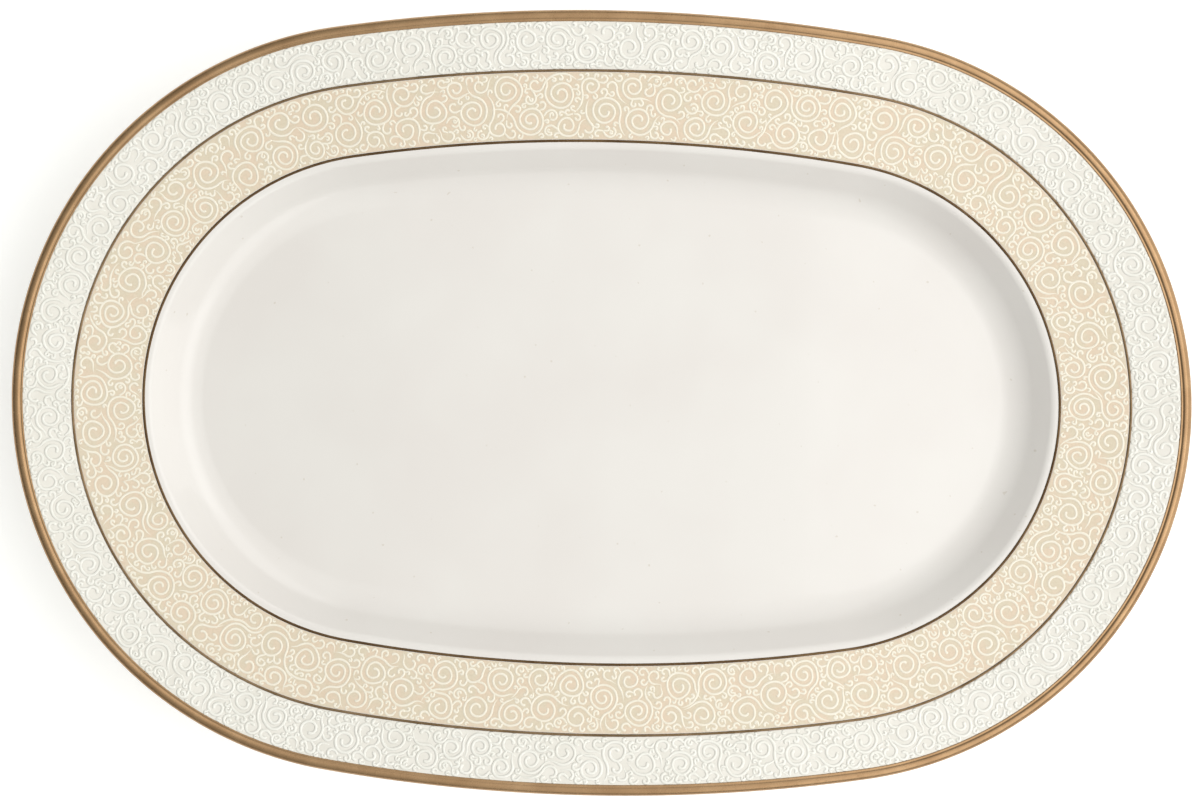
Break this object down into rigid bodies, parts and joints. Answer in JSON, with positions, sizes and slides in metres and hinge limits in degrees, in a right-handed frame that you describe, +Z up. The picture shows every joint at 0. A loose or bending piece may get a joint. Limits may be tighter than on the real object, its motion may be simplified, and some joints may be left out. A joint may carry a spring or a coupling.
{
  "type": "oval serving platter",
  "caption": "Oval china serving platter with a gilded edge, a raised white rim band, an ivory scrollwork band and a plain glazed well on a foot ring.",
  "frame": {"origin": "under the middle of the foot ring, on the surface that the platter stands on", "axes": "+X along the platter, +Y across it, +Z up through the well"},
  "size_m": [0.35, 0.2334, 0.0244],
  "materials": {
    "porcelain": "fired, unglazed",
    "ground_foot": "matte, ground smooth",
    "glaze": "clear glossy glaze over cream-white china",
    "relief_white": "glossy white raised ornament",
    "ivory_transfer": "satin-gloss ivory ground with white scrollwork",
    "gilding": "burnished warm gold"
  },
  "bodies": {
    "root": {"porcelain_body": "porcelain", "foot_ring": "ground_foot", "glaze_coat": "glaze", "well_back_glaze": "glaze", "white_relief_band": "relief_white", "outer_gold_line": "gilding", "ivory_transfer_band": "ivory_transfer", "inner_gold_line": "gilding", "gold_rim_band": "gilding"}
  },
  "joints": []
}
